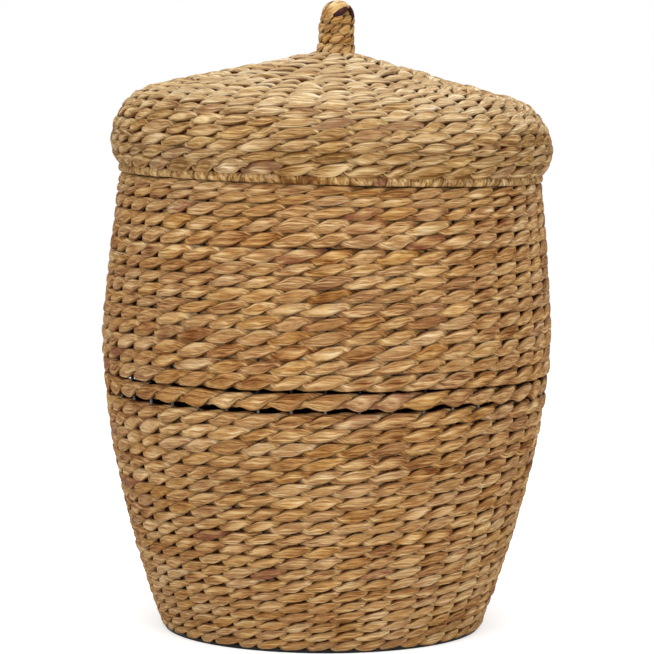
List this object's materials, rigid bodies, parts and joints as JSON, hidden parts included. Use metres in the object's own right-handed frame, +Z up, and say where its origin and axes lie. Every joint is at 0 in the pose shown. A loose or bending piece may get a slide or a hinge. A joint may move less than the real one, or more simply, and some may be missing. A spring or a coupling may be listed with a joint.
{
  "type": "lidded woven storage basket",
  "caption": "Barrel-shaped twined plant-fibre hamper on a black wire frame, with a shallow cone lid and knob that lifts off.",
  "frame": {"origin": "on the floor under the middle of the foot ring", "axes": "+Z up along the basket's axis of symmetry; the pictured side faces -Y"},
  "size_m": [0.4406, 0.4418, 0.6183],
  "materials": {
    "black_steel": "satin",
    "body_strand": "satin",
    "lid_strand": "satin",
    "knob_strand": "satin",
    "core_wood": "matt"
  },
  "bodies": {
    "basket": {"foot_ring": "black_steel", "base_frame": "black_steel", "base_weave": "body_strand", "wall_stake_01": "black_steel", "wall_stake_02": "black_steel", "wall_stake_03": "black_steel", "wall_stake_04": "black_steel", "wall_stake_05": "black_steel", "wall_stake_06": "black_steel", "wall_stake_07": "black_steel", "wall_stake_08": "black_steel", "wall_stake_09": "black_steel", "wall_stake_10": "black_steel", "wall_stake_11": "black_steel", "wall_stake_12": "black_steel", "wall_stake_13": "black_steel", "wall_stake_14": "black_steel", "wall_stake_15": "black_steel", "wall_stake_16": "black_steel", "wall_stake_17": "black_steel", "wall_stake_18": "black_steel", "wall_stake_19": "black_steel", "wall_stake_20": "black_steel", "wall_stake_21": "black_steel", "wall_stake_22": "black_steel", "wall_stake_23": "black_steel", "wall_stake_24": "black_steel", "wall_stake_25": "black_steel", "wall_stake_26": "black_steel", "wall_stake_27": "black_steel", "wall_stake_28": "black_steel", "wall_stake_29": "black_steel", "wall_stake_30": "black_steel", "wall_stake_31": "black_steel", "wall_stake_32": "black_steel", "wall_stake_33": "black_steel", "wall_stake_34": "black_steel", "wall_stake_35": "black_steel", "wall_stake_36": "black_steel", "wall_stake_37": "black_steel", "wall_stake_38": "black_steel", "wall_stake_39": "black_steel", "wall_stake_40": "black_steel", "wall_stake_41": "black_steel", "wall_stake_42": "black_steel", "wall_weave_lower": "body_strand", "belly_course": "body_strand", "wall_weave_upper": "body_strand", "belly_hoop": "black_steel", "rim_hoop": "black_steel"},
    "lid": {"lid_rim_hoop": "black_steel", "lid_rim_binding": "lid_strand", "lid_frame": "black_steel", "lid_weave_side": "lid_strand", "lid_weave_top": "lid_strand", "lid_locating_ring": "lid_strand", "knob_core": "core_wood", "knob_weave": "knob_strand", "knob_cap": "knob_strand"}
  },
  "joints": [
    {"name": "lid_lift", "type": "slide", "parent": "basket", "child": "lid", "axis": [0, 0, 1], "range_m": [0, 0.25]}
  ]
}
